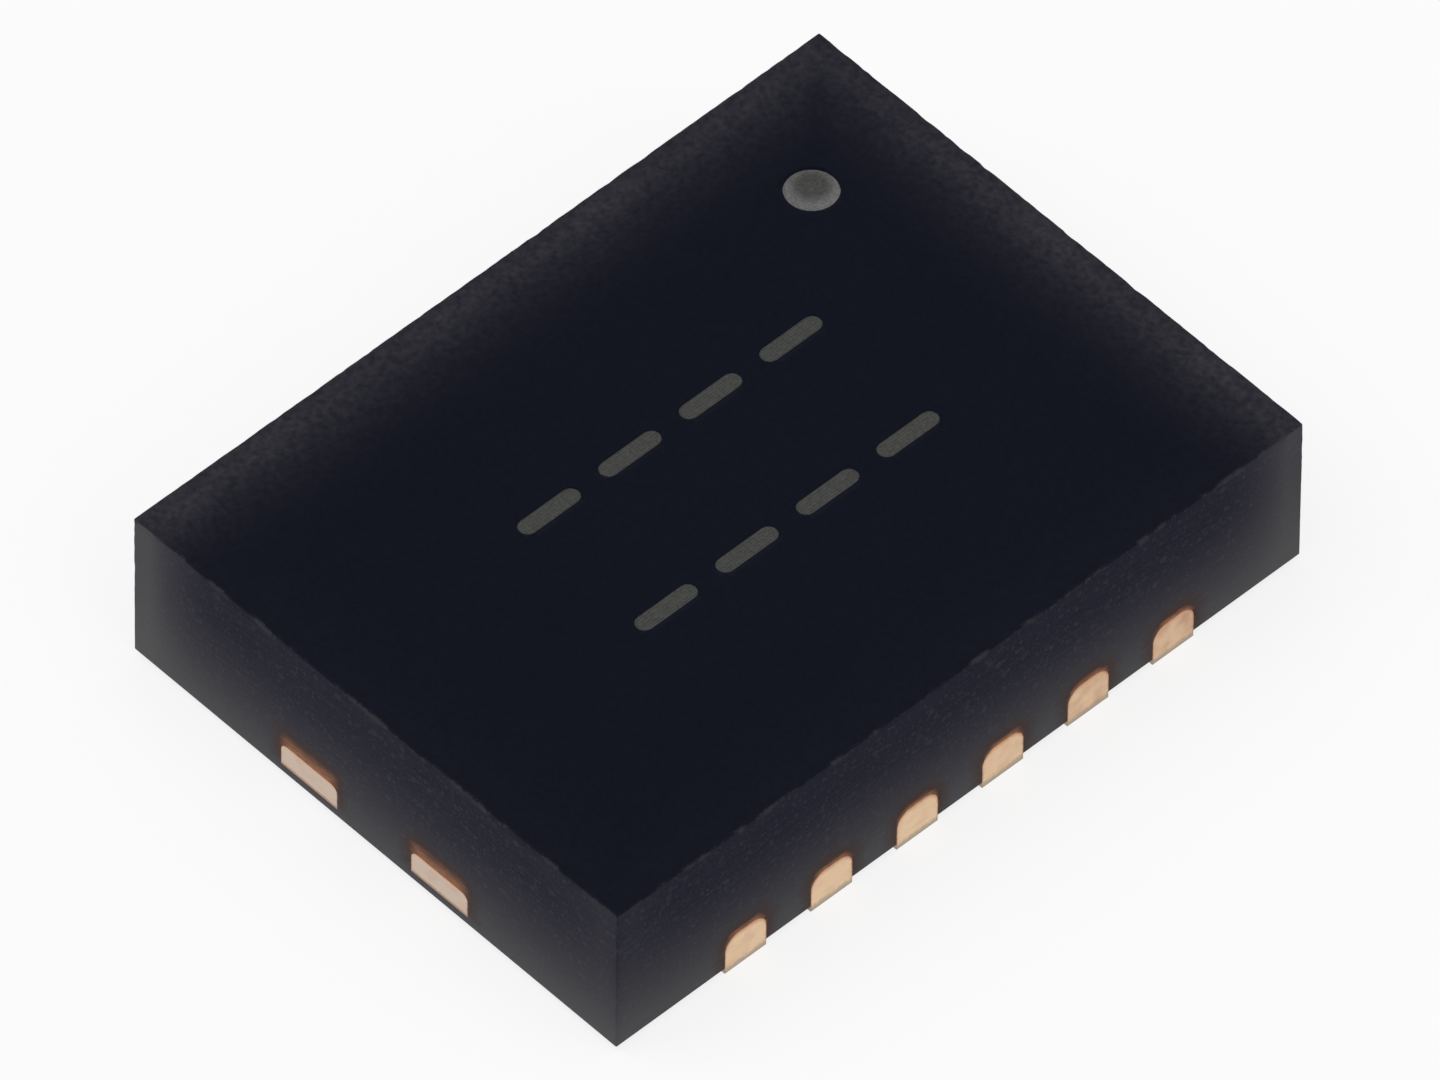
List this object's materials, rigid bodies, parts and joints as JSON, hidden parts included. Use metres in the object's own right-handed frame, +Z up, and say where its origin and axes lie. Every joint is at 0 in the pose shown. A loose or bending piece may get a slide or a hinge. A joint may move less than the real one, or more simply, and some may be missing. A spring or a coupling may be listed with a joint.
{
  "type": "voltage regulator",
  "caption": "Voltage regulator chip in a flat black moulded package with flush copper terminals along both long sides, a heat pad beneath and a round corner mark.",
  "frame": {"origin": "middle of the underside, level with the soldered faces", "axes": "+Y along the long side, towards the end with the round mark; +X across, away from terminal 1; +Z up from the board"},
  "size_m": [0.003, 0.004, 0.0009],
  "materials": {
    "mould_compound": "matte",
    "leadframe_copper": "satin",
    "silicon": "polished",
    "die_attach": "matte",
    "bond_wire": "satin"
  },
  "bodies": {
    "root": {"mould_body": "mould_compound", "die_paddle": "leadframe_copper", "die_attach": "die_attach", "silicon_die": "silicon", "terminal_1": "leadframe_copper", "terminal_2": "leadframe_copper", "terminal_3": "leadframe_copper", "terminal_4": "leadframe_copper", "terminal_5": "leadframe_copper", "terminal_6": "leadframe_copper", "terminal_7": "leadframe_copper", "terminal_8": "leadframe_copper", "terminal_9": "leadframe_copper", "terminal_10": "leadframe_copper", "terminal_11": "leadframe_copper", "terminal_12": "leadframe_copper", "bond_wire_1": "bond_wire", "bond_wire_2": "bond_wire", "bond_wire_3": "bond_wire", "bond_wire_4": "bond_wire", "bond_wire_5": "bond_wire", "bond_wire_6": "bond_wire", "bond_wire_7": "bond_wire", "bond_wire_8": "bond_wire", "bond_wire_9": "bond_wire", "bond_wire_10": "bond_wire", "bond_wire_11": "bond_wire", "bond_wire_12": "bond_wire"}
  },
  "joints": []
}
